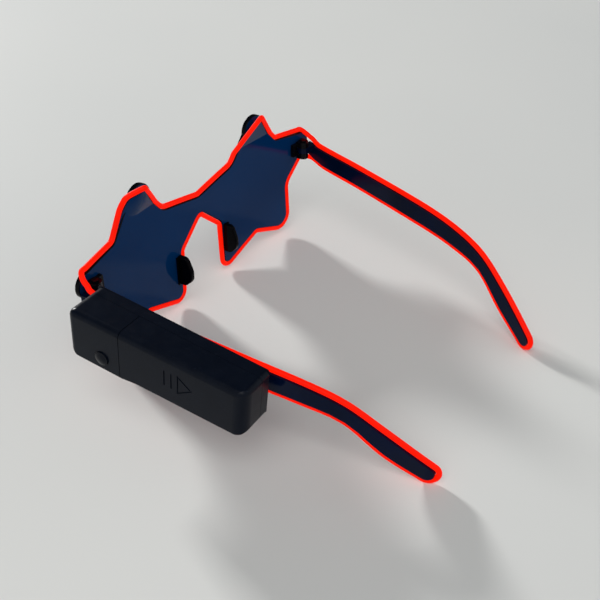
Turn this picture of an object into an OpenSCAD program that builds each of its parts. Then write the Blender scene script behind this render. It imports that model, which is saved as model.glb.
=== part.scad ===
// Light-up party glasses: a dark sheet front cut as two stars, two folding temples,
// a glowing wire round every edge, and a battery box on the wearer's left temple.
// Millimetres. The front faces -Y and the wearer's left is +X. The stars' lower tips
// and the temples' ends stand on z = 0, and x = 0 is the middle of the bridge.

/* [Front] */
// Thickness of the dark sheet
lens_t = 2; // [1.6:0.1:2.6]
// Radius of the sheet's wrap round the face
wrap_r = 554; // [400:1:900]
// Radius of the sheet's own rounded top tips
tip_r = 6.3; // [5.5:0.1:7]
// Radius of the sheet's outer ends, behind which the hinges sit
end_r = 5.1; // [4.6:0.1:5.4]
// How far the wire's top tips lean back off the sheet
tip_lean = 5.9; // [5.4:0.1:8]

/* [Wire] */
// Diameter of the glowing wire
wire_d = 2.1; // [1.9:0.1:2.6]
// Gap left for glue between the wire and the edge it runs on
glue_gap = 0.05; // [0.02:0.01:0.15]

/* [Nose pads] */
// Distance of each pad's middle plane from the centre of the bridge
pad_x = 14.95; // [14.8:0.05:17]
// Thickness of a pad
pad_t = 1.6; // [1.2:0.1:2]
// Depth of the dish in a pad's face
pad_dish = 0.5; // [0.2:0.1:0.7]
// How far a pad stands out behind the sheet
pad_reach = 6.7; // [4:0.1:9]

/* [Hinges] */
// Distance of each hinge axis from the middle
hinge_x = 66; // [65.4:0.1:66.4]
// Height of the middle of each hinge
hinge_z = 40.4; // [40:0.1:40.8]
// Radius of the knuckles
knuckle_r = 2.4; // [2:0.1:2.5]
// Height of the middle knuckle, which belongs to the temple
knuckle_h = 2.6; // [2:0.1:3]
// Height of each outer knuckle, which belongs to the front
lug_h = 2.6; // [2:0.1:2.8]
// Diameter of the hinge screw's shank
pin_d = 1.6; // [1.2:0.1:2]
// Thickness of the hinge's leaf on the back of the sheet
leaf_t = 1.2; // [0.8:0.1:1.4]

/* [Temples] */
// Thickness of a temple
temple_t = 2.6; // [2:0.1:3]
// Distance of a temple's middle plane from its hinge axis
temple_off = 5.15; // [5:0.05:5.5]
// Angle that an open temple turns in towards the head
toe_in = 7.5; // [6:0.1:9]
// Angle that the right temple rests folded from fully open
right_rest = 3.3; // [0:0.1:4]
// Distance along a temple at which it starts to bend round the head
bend_from = 63; // [50:1:80]
// Radius of that bend
bend_r = 242; // [200:1:400]

/* [Battery box] */
// Height of the box
box_h = 19.6; // [18.8:0.1:22]
// Width of the box at its front end
box_w = 16.2; // [14:0.1:17]
// Width of the box at its rear end
box_rear_w = 14.3; // [12.5:0.1:15]
// Wall of the box
wall = 0.9; // [0.7:0.1:0.9]
// Depth of the step under the driver section
box_step = 0.8; // [0.4:0.1:1.2]
// Depth of the inner shell, from its face to the seam at the rear end
base_w = 4.4; // [3.8:0.1:5]
// Distance along the box to the seam between cap and battery cover
seam_y = 21.7; // [19.4:0.1:22.4]
// Room between the end of the battery bay and the box's rear end
rear_room = 1.6; // [1.2:0.1:4]
// Distance from the hinge axis to the box's front end, along the temple
box_from = 7.4; // [7:0.1:10]
// Height of the box's front top edge
box_z = 49.7; // [47.6:0.1:50]
// Angle at which the box turns away from the temple
box_yaw = 5.4; // [3:0.1:6]
// Angle at which the box drops towards the rear
box_pitch = 5.3; // [4.5:0.1:8]
// Radius of the power button
button_r = 2.7; // [2.3:0.1:2.9]
// Height of the button above the box
button_up = 1.0; // [0.6:0.1:1.6]
// Travel of the button
button_travel = 0.5; // [0.3:0.05:0.6]

/* [Cell] */
// Diameter of the battery cell
cell_d = 10.5; // [9.8:0.1:10.5]
// Length of the battery cell with its nub
cell_l = 44.5; // [40:0.1:50]

/* [Hidden] */

wire_r = wire_d / 2;
edge_in = wire_r + glue_gap;
foot_z = wire_r + 0.05;

// The wire's centre line round one star, as corners [x, z, corner radius], from the bridge
// over the top to the hinge, and from the hinge round the feet to the nose notch
bridge_z = 45.9;
notch_z = 37.1;
top_in = [21.4, 50.4, 7];
top_tip = [35.8, 67.9, 0.9];
top_out = [51.2, 51.0, 3];
top_side = [42.0, 65.4, 4];
upper_end = [69.3, 48.0, 3];
lower_end = [68.4, 36.2, 3];
side_out = [58.0, 25.7, 7];
foot_out = [59.4, foot_z, 6];
foot_mid = [36.4, 10.0, 3];
foot_in = [13.2, foot_z, 4.2];
notch_in = [12.3, 25.8, 3];
lower_corners = [lower_end, side_out, foot_out, foot_mid, foot_in, notch_in];

lean_from = 54;
lean_to = top_tip[1];
arc_steps = 5;
ring_gap = 6.5;
wire_sides = 8;
running_gap = 0.05;
thread_gap = 0.02;
plate_back = wrap_r - lens_t / 2;
plate_front = wrap_r + lens_t / 2;
overlap = 0.1;
fine = 96;

function unit(v) = v / norm(v);
function mix(a, b, t) = a + (b - a) * t;
function flat(lists) = [for (l = lists) for (p = l) p];
function wrap_y(x) = wrap_r - sqrt(wrap_r * wrap_r - x * x);
function lean(z) = z < lean_from ? 0 : tip_lean * (z - lean_from) / (lean_to - lean_from);

// Points of a round corner of radius r at q, between the neighbours p and s
function corner_arc(p, q, s, r, steps) =
    let (u = unit(p - q), v = unit(s - q), half = acos(min(1, max(-1, u * v))) / 2,
        reach = min(r / tan(half), 0.45 * norm(p - q), 0.45 * norm(s - q)),
        rr = reach * tan(half), centre = q + unit(u + v) * rr / sin(half),
        e1 = unit(q + u * reach - centre), e2 = unit(u * -1 - e1 * (u * -1 * e1)),
        turn = 180 - 2 * half)
    [for (i = [0 : steps]) centre + rr * (cos(turn * i / steps) * e1 + sin(turn * i / steps) * e2)];

function xz(c) = [c[0], c[1]];

// An open path through corners [x, z, r], with every inner corner rounded
function rounded_path(c, steps) =
    flat([[xz(c[0])],
        for (i = [1 : len(c) - 2]) corner_arc(xz(c[i - 1]), xz(c[i]), xz(c[i + 1]), c[i][2], steps),
        [xz(c[len(c) - 1])]]);

// A closed outline through the same kind of corners
function rounded_loop(c, steps) =
    let (n = len(c))
    flat([for (i = [0 : n - 1])
        corner_arc(xz(c[(i + n - 1) % n]), xz(c[i]), xz(c[(i + 1) % n]), c[i][2], steps)]);

// The same path with points no further apart than gap
function divided(p, gap) =
    flat([for (i = [0 : len(p) - 2]) let (n = max(1, ceil(norm(p[i + 1] - p[i]) / gap)))
        [for (k = [0 : n - 1]) mix(p[i], p[i + 1], k / n)], [p[len(p) - 1]]]);

// A path moved sideways by d, to the right of its direction of travel
function moved_in(p, d) =
    let (n = len(p))
    [for (i = [0 : n - 1]) let (t = unit(p[min(i + 1, n - 1)] - p[max(i - 1, 0)])) p[i] + d * [t[1], -t[0]]];

function moved_in_loop(p, d) =
    let (n = len(p))
    [for (i = [0 : n - 1]) let (t = unit(p[(i + 1) % n] - p[(i + n - 1) % n])) p[i] + d * [t[1], -t[0]]];

function mirrored(p) = [for (i = [len(p) - 1 : -1 : 0]) [-p[i][0], for (k = [1 : len(p[i]) - 1]) p[i][k]]];

// A curve from a to d, pulled towards b and c
function bezier(a, b, c, d, n) =
    [for (i = [1 : n]) let (t = i / n, s = 1 - t) s*s*s*a + 3*s*s*t*b + 3*s*t*t*c + t*t*t*d];

// A round tube along 3-D points
function tangents(p) =
    let (n = len(p)) [for (i = [0 : n - 1]) unit(p[min(i + 1, n - 1)] - p[max(i - 1, 0)])];
function square_to(v, t) = unit(v - t * (v * t));

module tube(p, d, sides = wire_sides, start = [0.31, 0.87, 0.38]) {
    t = tangents(p);
    n = len(p);
    across = [for (i = 0, v = square_to(start, t[0]); i < n;
        v = square_to(v, t[min(i + 1, n - 1)]), i = i + 1) v];
    rings = flat([for (i = [0 : n - 1]) let (u = across[i], w = cross(t[i], u))
        [for (k = [0 : sides - 1]) p[i] + d / 2 * (cos(360 * k / sides) * u + sin(360 * k / sides) * w)]]);
    walls = flat([for (i = [0 : n - 2]) flat([for (k = [0 : sides - 1])
        let (a = i * sides + k, b = i * sides + (k + 1) % sides, c = b + sides, e = a + sides)
        [[a, e, c], [a, c, b]]])]);
    first = [for (k = [0 : sides - 1]) k];
    last = [for (k = [sides - 1 : -1 : 0]) (n - 1) * sides + k];
    polyhedron(points = rings, faces = concat([first], walls, [last]));
}

// The front

function star_point(p) = [p[0], wrap_y(p[0]) + lean(p[1]), p[1]];

// On the left star the wire comes back to the sheet sooner and runs round its tip
lean_width = 9;
function left_point(p) =
    [p[0], wrap_y(p[0]) + lean(p[1]) * min(1, max(0, 1 - (p[0] - top_tip[0]) / lean_width)), p[1]];

// The wire over the top: along the sheet, then back over the hinge
hinge_y = plate_y(hinge_x) + knuckle_r + 0.25;
function plate_y(x) = wrap_r - sqrt(plate_back * plate_back - x * x);
upper_foot = [66.6, 48.45, 0];
upper_right = rounded_path([[0, bridge_z, 0], top_in, top_tip, top_out, upper_foot], arc_steps);
upper_left = rounded_path([[0, bridge_z, 0], top_in, top_tip, top_side, top_out, upper_foot], arc_steps);
upper_start = star_point(upper_foot);
upper_stop = [hinge_x + 4.05, hinge_y - 0.2, hinge_z + 5.2];
upper_out = [3.4, 0.1, 0.2];
upper_back = [-0.1, -1.0, 3.2];
turn_steps = 8;
upper_turn = bezier(upper_start, upper_start + upper_out, upper_stop + upper_back, upper_stop, turn_steps);
right_half = concat([for (p = divided(upper_right, ring_gap)) star_point(p)], upper_turn);
left_half = concat([for (p = divided(upper_left, ring_gap)) left_point(p)], upper_turn);
upper_path = concat(mirrored(right_half), [for (i = [1 : len(left_half) - 1]) left_half[i]]);

// The wire under the hinge, round the feet and through the nose notch
lower_flat = rounded_path(concat([[66.4, 34.3, 0]], [for (i = [1 : 5]) lower_corners[i]],
    [[0, notch_z, 0]]), arc_steps);
lower_start = star_point(lower_flat[0]);
lower_stop = [hinge_x + 3.4, hinge_y - 2.3, hinge_z - 5.1];
lower_out = [1.2, 0.1, 1.2];
lower_back = [-0.9, -1.0, 0.5];
lower_turn = bezier(lower_start, lower_start + lower_out, lower_stop + lower_back, lower_stop, turn_steps);
lower_half = concat([for (i = [turn_steps - 1 : -1 : 0]) lower_turn[i]],
    [for (p = divided(lower_flat, ring_gap)) star_point(p)]);
notch_r = 2.6;
lower_side = [for (i = [0 : len(lower_half) - 2]) lower_half[i]];
notch_from = lower_side[len(lower_side) - 1];
notch_flat = [notch_from[0], notch_from[2]];
notch_other = [-notch_flat[0], notch_flat[1]];
notch_arc = corner_arc(notch_flat, [0, notch_z], notch_other, notch_r, arc_steps);
notch_top = [for (p = notch_arc) star_point(p)];
lower_path = concat(lower_side, notch_top, mirrored(lower_side));

// The sheet's outline lies inside the wire, but its top tips and outer ends are round
tip_drop = edge_in + 0.2;
end_drop = edge_in - 0.5;
tip_c = [top_tip[0] - 0.1, lean_to - tip_drop - tip_r];
end_c = [upper_end[0] - 2, upper_end[1] - end_drop - end_r];

function right_of(u) = [u[1], -u[0]];

// A wire corner moved in to the sheet's edge, as a round corner of its own
function edge_corner(p, q, s) =
    let (u = unit(xz(q) - xz(p)), v = unit(xz(s) - xz(q)), n = right_of(u), m = right_of(v),
        turn = u[0] * v[1] - u[1] * v[0], c = xz(q) + edge_in * (n + m) / (1 + n * m),
        r = q[2] + (turn < 0 ? -edge_in : edge_in))
    corner_arc(c - (xz(q) - xz(p)), c, c + (xz(s) - xz(q)), r, arc_steps);

// The point of the sheet's edge between the corners a and b that lies nearest to c
function foot_of(a, b, c) =
    let (u = unit(xz(b) - xz(a)), p = xz(a) + edge_in * right_of(u)) p + u * ((c - p) * u);

bridge = [0, bridge_z, 12];
notch = [0, notch_z, notch_r];
function other_side(c) = [-c[0], c[1], c[2]];

// One star's edge from the bridge to the notch; side is the wire's corner before top_out
function plate_half(side) = concat(
    edge_corner(bridge, top_in, top_tip),
    [foot_of(top_in, top_tip, tip_c), foot_of(side, top_out, tip_c)],
    edge_corner(side, top_out, upper_end),
    [foot_of(top_out, upper_end, end_c), foot_of(lower_end, side_out, end_c)],
    edge_corner(lower_end, side_out, foot_out),
    edge_corner(side_out, foot_out, foot_mid),
    edge_corner(foot_out, foot_mid, foot_in),
    edge_corner(foot_mid, foot_in, notch_in),
    edge_corner(foot_in, notch_in, notch));
plate_loop = concat(edge_corner(other_side(top_in), bridge, top_in), plate_half(top_side),
    edge_corner(notch_in, notch, other_side(notch_in)), mirrored(plate_half(top_tip)));

// A 2-D outline in x and z, carried through the front from y0 to y1
module upright(y0, y1) {
    translate([0, y1, 0]) rotate([90, 0, 0]) linear_extrude(y1 - y0) children();
}

module wrap_cylinder(r) {
    translate([0, wrap_r, -20]) cylinder(r = r, h = 120, $fn = 720);
}

peg_d = 1.3;
peg_head_d = 2.3;
peg_head_h = 0.45;
peg_root = 0.35;
peg_sides = 24;
leaf_l = 5.2;
leaf_x = [hinge_x - leaf_l, hinge_x + knuckle_r];
leaf_z = [hinge_z - 2.5, hinge_z + 3.2];
leaf_edge = 1.3;
hinge_pegs = [for (z = [leaf_z[0] + leaf_edge + 0.1, leaf_z[1] - leaf_edge]) [leaf_x[0] + leaf_edge, z]];
pad_z = [11.2, 24.7];
pad_foot_w = 3.1;
pad_face_x = pad_x - pad_t / 2;
pad_peg_in = 3.2;
pad_pegs = [for (z = [pad_z[0] + pad_peg_in, pad_z[1] - pad_peg_in]) [pad_face_x + pad_foot_w / 2, z]];
all_pegs = concat(hinge_pegs, pad_pegs);

// The whole outline as a thick block: straight-edged stars with round tips and ends
sheet_reach = [-5, 15];

module star_block() {
    upright(sheet_reach[0], sheet_reach[1]) polygon(plate_loop);
    for (side = [-1, 1]) {
        translate([side * tip_c[0], sheet_reach[1], tip_c[1]]) rotate([90, 0, 0])
            cylinder(r = tip_r, h = sheet_reach[1] - sheet_reach[0], $fn = fine);
        translate([side * end_c[0], sheet_reach[1], end_c[1]]) rotate([90, 0, 0])
            cylinder(r = end_r, h = sheet_reach[1] - sheet_reach[0], $fn = fine);
    }
}

module lens_plate() {
    color("#16243c")
    difference() {
        intersection() {
            union() star_block();
            wrap_cylinder(plate_front);
        }
        wrap_cylinder(plate_back);
        for (side = [-1, 1], p = all_pegs)
            translate([side * p[0], sheet_reach[0], p[1]]) rotate([-90, 0, 0])
                cylinder(d = peg_d + 2 * running_gap, h = sheet_reach[1] - sheet_reach[0], $fn = 24);
    }
}

module upper_wire() { color("#ff1e05") tube(upper_path, wire_d); }

module lower_wire() { color("#ff1e05") tube(lower_path, wire_d); }

// A peg moulded on a fitting, through the sheet, with its end staked over in front
module peg(p) {
    head_y = wrap_y(p[0]) - lens_t / 2 - peg_head_h;
    difference() {
        translate([p[0], head_y, p[1]]) rotate([-90, 0, 0])
            cylinder(d = peg_head_d, h = peg_head_h + peg_root, $fn = peg_sides);
        wrap_cylinder(plate_front + thread_gap);
    }
    translate([p[0], head_y + peg_root / 2, p[1]]) rotate([-90, 0, 0])
        cylinder(d = peg_d, h = peg_head_h + lens_t + peg_root, $fn = peg_sides);
}

// A pad is a rounded D that stands out behind the sheet beside the notch
pad_back = plate_y(pad_x);
pad_root = pad_back - 0.8;
pad_shoulder = pad_back + 0.3 * pad_reach;
pad_heel = pad_back + 0.5 * pad_reach;
pad_end = pad_back + pad_reach;
pad_profile = [[pad_root, pad_z[0], 0.3], [pad_root, pad_z[1], 0.3], [pad_shoulder, pad_z[1], 3.5],
    [pad_end, mix(pad_z[0], pad_z[1], 0.56), 6], [pad_end, mix(pad_z[0], pad_z[1], 0.26), 4],
    [pad_heel, pad_z[0], 2.8]];
pad_rim = 1.1;
pad_foot_t = 0.9;
pad_foot_in = 0.2;

module nose_pad() {
    loop = rounded_loop(pad_profile, arc_steps);
    difference() {
        union() {
            translate([pad_face_x, 0, 0]) rotate([90, 0, 90]) linear_extrude(pad_t) polygon(loop);
            translate([pad_face_x + overlap, 0, pad_z[0] + pad_foot_in])
                cube([pad_foot_w - overlap, pad_back + pad_foot_t, pad_z[1] - pad_z[0] - 2 * pad_foot_in]);
        }
        translate([pad_face_x - 1, 0, 0]) rotate([90, 0, 90]) linear_extrude(1 + pad_dish)
            intersection() {
                polygon(moved_in_loop(loop, pad_rim));
                translate([pad_back + pad_rim, 0]) square([20, 60]);
            }
        difference() {
            wrap_cylinder(plate_front + 60);
            wrap_cylinder(plate_back - thread_gap);
        }
    }
    for (p = pad_pegs) peg(p);
}

module left_nose_pad() { color("#0b0c10") nose_pad(); }

module right_nose_pad() { color("#0b0c10") mirror([1, 0, 0]) nose_pad(); }

// Hinges

gap_z = 0.1;
tongue_z = [hinge_z - knuckle_h / 2, hinge_z + knuckle_h / 2];
low_lug_z = [tongue_z[0] - gap_z - lug_h, tongue_z[0] - gap_z];
top_lug_z = [tongue_z[1] + gap_z, tongue_z[1] + gap_z + lug_h];
head_r = 1.4;
head_h = 0.8;
slot_w = 0.35;

module front_hinge() {
    difference() {
        union() {
            intersection() {
                translate([leaf_x[0], 0, leaf_z[0]])
                    cube([leaf_x[1] - leaf_x[0], plate_y(hinge_x) + leaf_t, leaf_z[1] - leaf_z[0]]);
                wrap_cylinder(plate_back - thread_gap);
            }
            for (z = [low_lug_z, top_lug_z]) {
                translate([hinge_x, hinge_y, z[0]]) cylinder(r = knuckle_r, h = z[1] - z[0], $fn = fine);
                translate([hinge_x - knuckle_r, plate_y(hinge_x) + 0.5, z[0]])
                    cube([2 * knuckle_r, hinge_y - plate_y(hinge_x) - 0.5, z[1] - z[0]]);
            }
        }
        translate([hinge_x - knuckle_r - 0.4, plate_y(0) - 3, low_lug_z[1]])
            cube([2 * knuckle_r + 3, 30, top_lug_z[0] - low_lug_z[1]]);
        translate([hinge_x, hinge_y, low_lug_z[0] - 1])
            cylinder(d = pin_d + 2 * thread_gap, h = top_lug_z[1] - low_lug_z[0] + 2, $fn = fine);
    }
    for (p = hinge_pegs) peg(p);
}

module hinge_screw() {
    translate([hinge_x, hinge_y, 0]) {
        translate([0, 0, low_lug_z[0]])
            cylinder(d = pin_d, h = top_lug_z[1] - low_lug_z[0] + overlap, $fn = fine);
        difference() {
            translate([0, 0, top_lug_z[1] + thread_gap]) cylinder(r = head_r, h = head_h, $fn = fine);
            translate([-head_r - 1, -slot_w / 2, top_lug_z[1] + head_h / 2 + thread_gap])
                cube([2 * head_r + 2, slot_w, head_h]);
        }
    }
}

module left_front_hinge() { color("#0b0c10") front_hinge(); }

module right_front_hinge() { color("#0b0c10") mirror([1, 0, 0]) front_hinge(); }

module left_hinge_screw() { color("silver") hinge_screw(); }

module right_hinge_screw() { color("silver") mirror([1, 0, 0]) hinge_screw(); }

// Temples, in their own frame: the hinge axis at x = 0, y = 0, and y along the temple

module on_left() {
    translate([hinge_x, hinge_y, 0]) rotate([0, 0, toe_in]) children();
}

module on_right() {
    mirror([1, 0, 0]) translate([hinge_x, hinge_y, 0]) rotate([0, 0, toe_in + right_rest]) children();
}

// Heights of the wire's centre line on the temple's edges, as [distance, height]
top_edge = [[1.9, 43.8], [5, 42.3], [29, 40.4], [63, 37.0],
    [84, 33.8], [99, 29.2], [112.3, 20.5], [129.3, 7.7]];
low_edge = [[3, 34.1], [8, 32.6], [29, 30.9], [63, 27.3],
    [84, 24.7], [99, 20.8], [112.3, 9.9], [125.7, 1.5]];
end_c_y = 127.3;
end_arc_r = 3.6;
end_c_z = end_arc_r + foot_z;
end_angles = [56, -116];
bar_front = -1.9;
bar_top_z = hinge_z + 1.2;
bar_low_z = hinge_z - 3.0;

function slope(e, i) = (e[min(i + 1, len(e) - 1)][1] - e[max(i - 1, 0)][1])
    / (e[min(i + 1, len(e) - 1)][0] - e[max(i - 1, 0)][0]);

// A smooth curve through an edge's points, with n steps in each stretch
function edge_curve(e, step) =
    flat([for (i = [0 : len(e) - 2])
        let (h = e[i + 1][0] - e[i][0], m = slope(e, i), k = slope(e, i + 1), n = max(1, round(h / step)))
        [for (j = [0 : n - 1]) let (t = j / n)
            [e[i][0] + h * t,
             e[i][1] * (2*t*t*t - 3*t*t + 1) + h * m * (t*t*t - 2*t*t + t)
             + e[i + 1][1] * (3*t*t - 2*t*t*t) + h * k * (t*t*t - t*t)]]]);

edge_step = 5;
top_line = edge_curve(top_edge, edge_step);
low_line = edge_curve(low_edge, edge_step);
end_arc = [for (i = [0 : 8]) let (a = mix(end_angles[0], end_angles[1], i / 8))
    [end_c_y + end_arc_r * cos(a), end_c_z + end_arc_r * sin(a)]];
temple_line = concat(top_line, end_arc, [for (i = [len(low_line) - 1 : -1 : 0]) low_line[i]]);

function bend(y) = y < bend_from ? 0 : bend_r - sqrt(bend_r * bend_r - (y - bend_from) * (y - bend_from));
temple_path = [for (p = temple_line) [temple_off - bend(p[0]), p[0], p[1]]];

box_feet = [17, 52];
foot_r = 3;
foot_screw_d = 2;
foot_screw_head_d = 3.6;
foot_screw_head_h = 1.2;
function foot_height(y) = y < 30 ? 36.0 : 33.4;

module temple(feet) {
    difference() {
        union() {
            intersection() {
                rotate([90, 0, 90]) translate([0, 0, -40]) linear_extrude(80)
                    polygon(concat([[bar_front, bar_top_z]],
                        [for (p = moved_in(temple_line, edge_in)) if (p[0] > 3.2) p],
                        [[bar_front, bar_low_z]]));
                union() {
                    translate([temple_off - temple_t / 2, -10, 0]) cube([temple_t, 10 + bend_from, 60]);
                    intersection() {
                        translate([temple_off - bend_r, bend_from, 0]) difference() {
                            cylinder(r = bend_r + temple_t / 2, h = 60, $fn = 720);
                            translate([0, 0, -1]) cylinder(r = bend_r - temple_t / 2, h = 62, $fn = 720);
                        }
                        translate([temple_off - 60, bend_from, 0]) cube([80, 100, 60]);
                    }
                }
            }
            translate([0, 0, tongue_z[0]]) {
                cylinder(r = knuckle_r, h = knuckle_h, $fn = fine);
                translate([0, -1.5, 0]) cube([temple_off, knuckle_r + 1.5, knuckle_h]);
            }
        }
        translate([0, 0, tongue_z[0] - 1])
            cylinder(d = pin_d + 2 * running_gap, h = knuckle_h + 2, $fn = fine);
        for (y = feet) translate([temple_off - temple_t, y, foot_height(y)]) rotate([0, 90, 0])
            cylinder(d = foot_screw_d + 0.2, h = 2 * temple_t, $fn = 48);
    }
}

module left_temple() { color("#0c1424") on_left() temple(box_feet); }

module right_temple() { color("#0c1424") on_right() temple([]); }

module left_temple_wire() { color("#ff1e05") on_left() tube(temple_path, wire_d, start = [1, 0.2, 0.1]); }

module right_temple_wire() { color("#ff1e05") on_right() tube(temple_path, wire_d, start = [1, 0.2, 0.1]); }

// The battery box, in its own frame: x out from the temple, y to the rear, z up,
// with the origin at the front, inner, top corner

temple_out = temple_off + temple_t / 2;
box_gap = 0.2;
box_x = temple_out + box_gap;

module in_box() {
    on_left() translate([box_x, box_from, box_z]) rotate([-box_pitch, 0, -box_yaw]) children();
}

// Along the box: the driver section, a wall, the cell between its contacts, a wall, and the rear end
divider_t = 0.9;
divider_y = seam_y - 0.2 - divider_t;
strip_t = 0.3;
nub_gap = 0.1;
cell_y = divider_y + divider_t + strip_t + nub_gap;
spring_l = 2;
spring_r = 3.6;
rear_strip_y = cell_y + cell_l + spring_l;
bulkhead_y = rear_strip_y + strip_t;
bulkhead_t = 0.7;
box_l = bulkhead_y + bulkhead_t + rear_room;

taper = atan((box_w - box_rear_w) / box_l);
step_from = seam_y + 0.6;
step_to = step_from + 6;
side_corners = [[0, 0, 1.2], [box_l, 0, 1.4], [box_l, -box_h, 2.5], [step_to, -box_h, 8],
    [step_from, -box_h - box_step, 8], [0, -box_h - box_step / 2, 4]];
plan_corners = [[0, 0, 0.4], [0, box_l, 1.0], [box_rear_w, box_l, 4.2], [box_w, 0, 1.8]];
below = box_h + box_step + 3;
end_corners = [[0, 0, 0.4], [box_w, 0, 2.2], [box_w, -below, 0.4], [0, -below, 0.4]];

// The box's outer form, or the form at a depth g inside it
module case_form(g) {
    intersection() {
        rotate([90, 0, 90]) translate([0, 0, g]) linear_extrude(30)
            polygon(moved_in_loop(rounded_loop(side_corners, arc_steps), g));
        translate([0, 0, -2 * box_h]) linear_extrude(3 * box_h)
            polygon(moved_in_loop(rounded_loop(plan_corners, arc_steps), g));
        translate([0, 0, -g]) rotate([0, 0, taper]) translate([0, 90, 0]) rotate([90, 0, 0])
            linear_extrude(180) polygon(moved_in_loop(rounded_loop(end_corners, arc_steps), 0));
    }
}

module case_part(x0, x1, y0, y1) {
    intersection() {
        difference() {
            case_form(0);
            case_form(wall);
        }
        translate([x0, y0, -40]) cube([x1 - x0, y1 - y0, 60]);
    }
}

seam_gap = 0.25;
shell_gap = 0.12;
cell_clear = 0.1;
cell_x = wall + cell_clear + cell_d / 2;
cell_z = -box_h / 2;
bulkhead_top = 9.8;
divider_top = cell_x + 3.6;
rail_in = 0.15;
rail_t = 0.8;
rail_y = [seam_y + 1.5, bulkhead_y];
rail_top = base_w + 2.2;
post_r = 1.7;
post_screw_d = 1.6;
posts = [[3.6, -box_h + 2.9], [seam_y - 3.6, -3.4]];
boss_h = 2.2;
boss_r = 2.5;
post_head_r = 1.5;
post_head_h = 1.0;
lead_hole = [6.8, -3.4];
board_posts = [[3.4, -7.5], [seam_y - 3.6, 6.8 - box_h]];
board_post_r = 1.2;
cell_ribs = [cell_y + 6, cell_y + cell_l - 8];
rib_t = 0.9;
rib_h = 3;
lead_d = 1.6;
board_x = 6.2;
board_t = 0.8;
button_at = [seam_y - 7.4, 4.7 - box_h];

// A guide rail for the battery cover; top is 1 for the upper one and -1 for the lower
module rail(top) {
    edge = top > 0 ? -wall - rail_in : -box_h + wall + rail_in;
    lo = top > 0 ? edge - rail_t : edge;
    translate([wall - 0.1, rail_y[0], lo]) cube([rail_top - wall + 0.1, rail_y[1] - rail_y[0], rail_t]);
}

module box_base() {
    color("#1b1f24") in_box() {
        difference() {
            union() {
                case_part(-1, base_w, -1, box_l + 1);
                inner_wall(divider_y, divider_t, divider_top);
                inner_wall(bulkhead_y, bulkhead_t, bulkhead_top);
                case_ribs();
                for (top = [1, -1]) rail(top);
                for (p = posts) translate([wall - 0.1, p[0], p[1]]) rotate([0, 90, 0])
                    cylinder(r = boss_r, h = boss_h - wall + 0.1, $fn = 48);
            }
            for (p = posts) translate([-1, p[0], p[1]]) rotate([0, 90, 0]) {
                cylinder(r = post_head_r + 0.1, h = 1 + post_head_h + 0.1, $fn = 48);
                cylinder(d = post_screw_d + 0.2, h = boss_h + 2, $fn = 48);
            }
            translate([-1, lead_hole[0], lead_hole[1]]) rotate([0, 90, 0])
                cylinder(d = lead_d + 0.2, h = 3, $fn = 48);
            box_feet_cut();
        }
        difference() {
            box_feet_solid();
            box_feet_cut();
        }
    }
}

// A wall across the inside, joined to the inner shell and clear of the covers
module inner_wall(y, t, top) {
    intersection() {
        case_form(wall + shell_gap);
        translate([0, y, -box_h]) cube([top, t, box_h]);
    }
    intersection() {
        case_form(wall - overlap);
        translate([0, y, -box_h]) cube([base_w - overlap, t, box_h]);
    }
}

// Ribs on the floor that cradle the cell and carry the driver board
module case_ribs() {
    for (y = cell_ribs) difference() {
        translate([wall - overlap, y, -box_h + wall + rail_in])
            cube([rib_h, rib_t, box_h - 2 * wall - 2 * rail_in]);
        translate([cell_x, y - 1, cell_z]) rotate([-90, 0, 0])
            cylinder(d = cell_d + 2 * cell_clear, h = rib_t + 2, $fn = fine);
    }
    for (p = board_posts) translate([wall - overlap, p[0], p[1]]) rotate([0, 90, 0])
        cylinder(r = board_post_r, h = board_x - wall + overlap, $fn = 36);
}

// Feet between the inner shell and the temple, square to the temple
foot_root = [4.36, 0.25];
foot_depth = [for (i = [0, 1])
    box_gap - thread_gap + (box_feet[i] - box_from) * tan(box_yaw) + foot_root[i]];

module box_feet_solid() {
    for (i = [0, 1]) intersection() {
        from_box_frame() translate([temple_out + thread_gap, box_feet[i], foot_height(box_feet[i])])
            rotate([0, 90, 0]) cylinder(r = foot_r, h = foot_depth[i], $fn = 64);
        translate([-20, 0, -40]) cube([20 + (i == 0 ? 30 : wall - 0.05), 80, 60]);
    }
}

module box_feet_cut() {
    for (i = [0, 1]) from_box_frame() translate([temple_out - 1, box_feet[i], foot_height(box_feet[i])])
        rotate([0, 90, 0]) cylinder(d = foot_screw_d + 2 * thread_gap, h = foot_depth[i] + 0.6, $fn = 48);
}

// The temple's frame as it is seen from inside the box's frame
module from_box_frame() {
    rotate([box_pitch, 0, 0]) rotate([0, 0, box_yaw]) translate([-box_x, -box_from, -box_z]) children();
}

module driver_cap() {
    color("#1d2127") in_box() {
        difference() {
            union() {
                case_part(base_w + shell_gap, 40, -1, seam_y - seam_gap / 2);
                for (p = posts) intersection() {
                    case_form(wall - overlap);
                    translate([boss_h + overlap, p[0], p[1]]) rotate([0, 90, 0])
                        cylinder(r = post_r, h = box_w, $fn = 48);
                }
            }
            for (p = posts) translate([0, p[0], p[1]]) rotate([0, 90, 0])
                cylinder(d = post_screw_d + 2 * thread_gap, h = boss_h + 6, $fn = 48);
            translate([box_w - 4, button_at[0], button_at[1]]) rotate([0, 90, 0])
                cylinder(r = button_r + 0.12, h = 8, $fn = fine);
        }
    }
}

module battery_cover() {
    color("#1b1f24") in_box() {
        case_part(base_w + shell_gap, 40, seam_y + seam_gap / 2, box_l + 1);
    }
}

function face_x(y) = box_w - (box_w - box_rear_w) * y / box_l;

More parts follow.
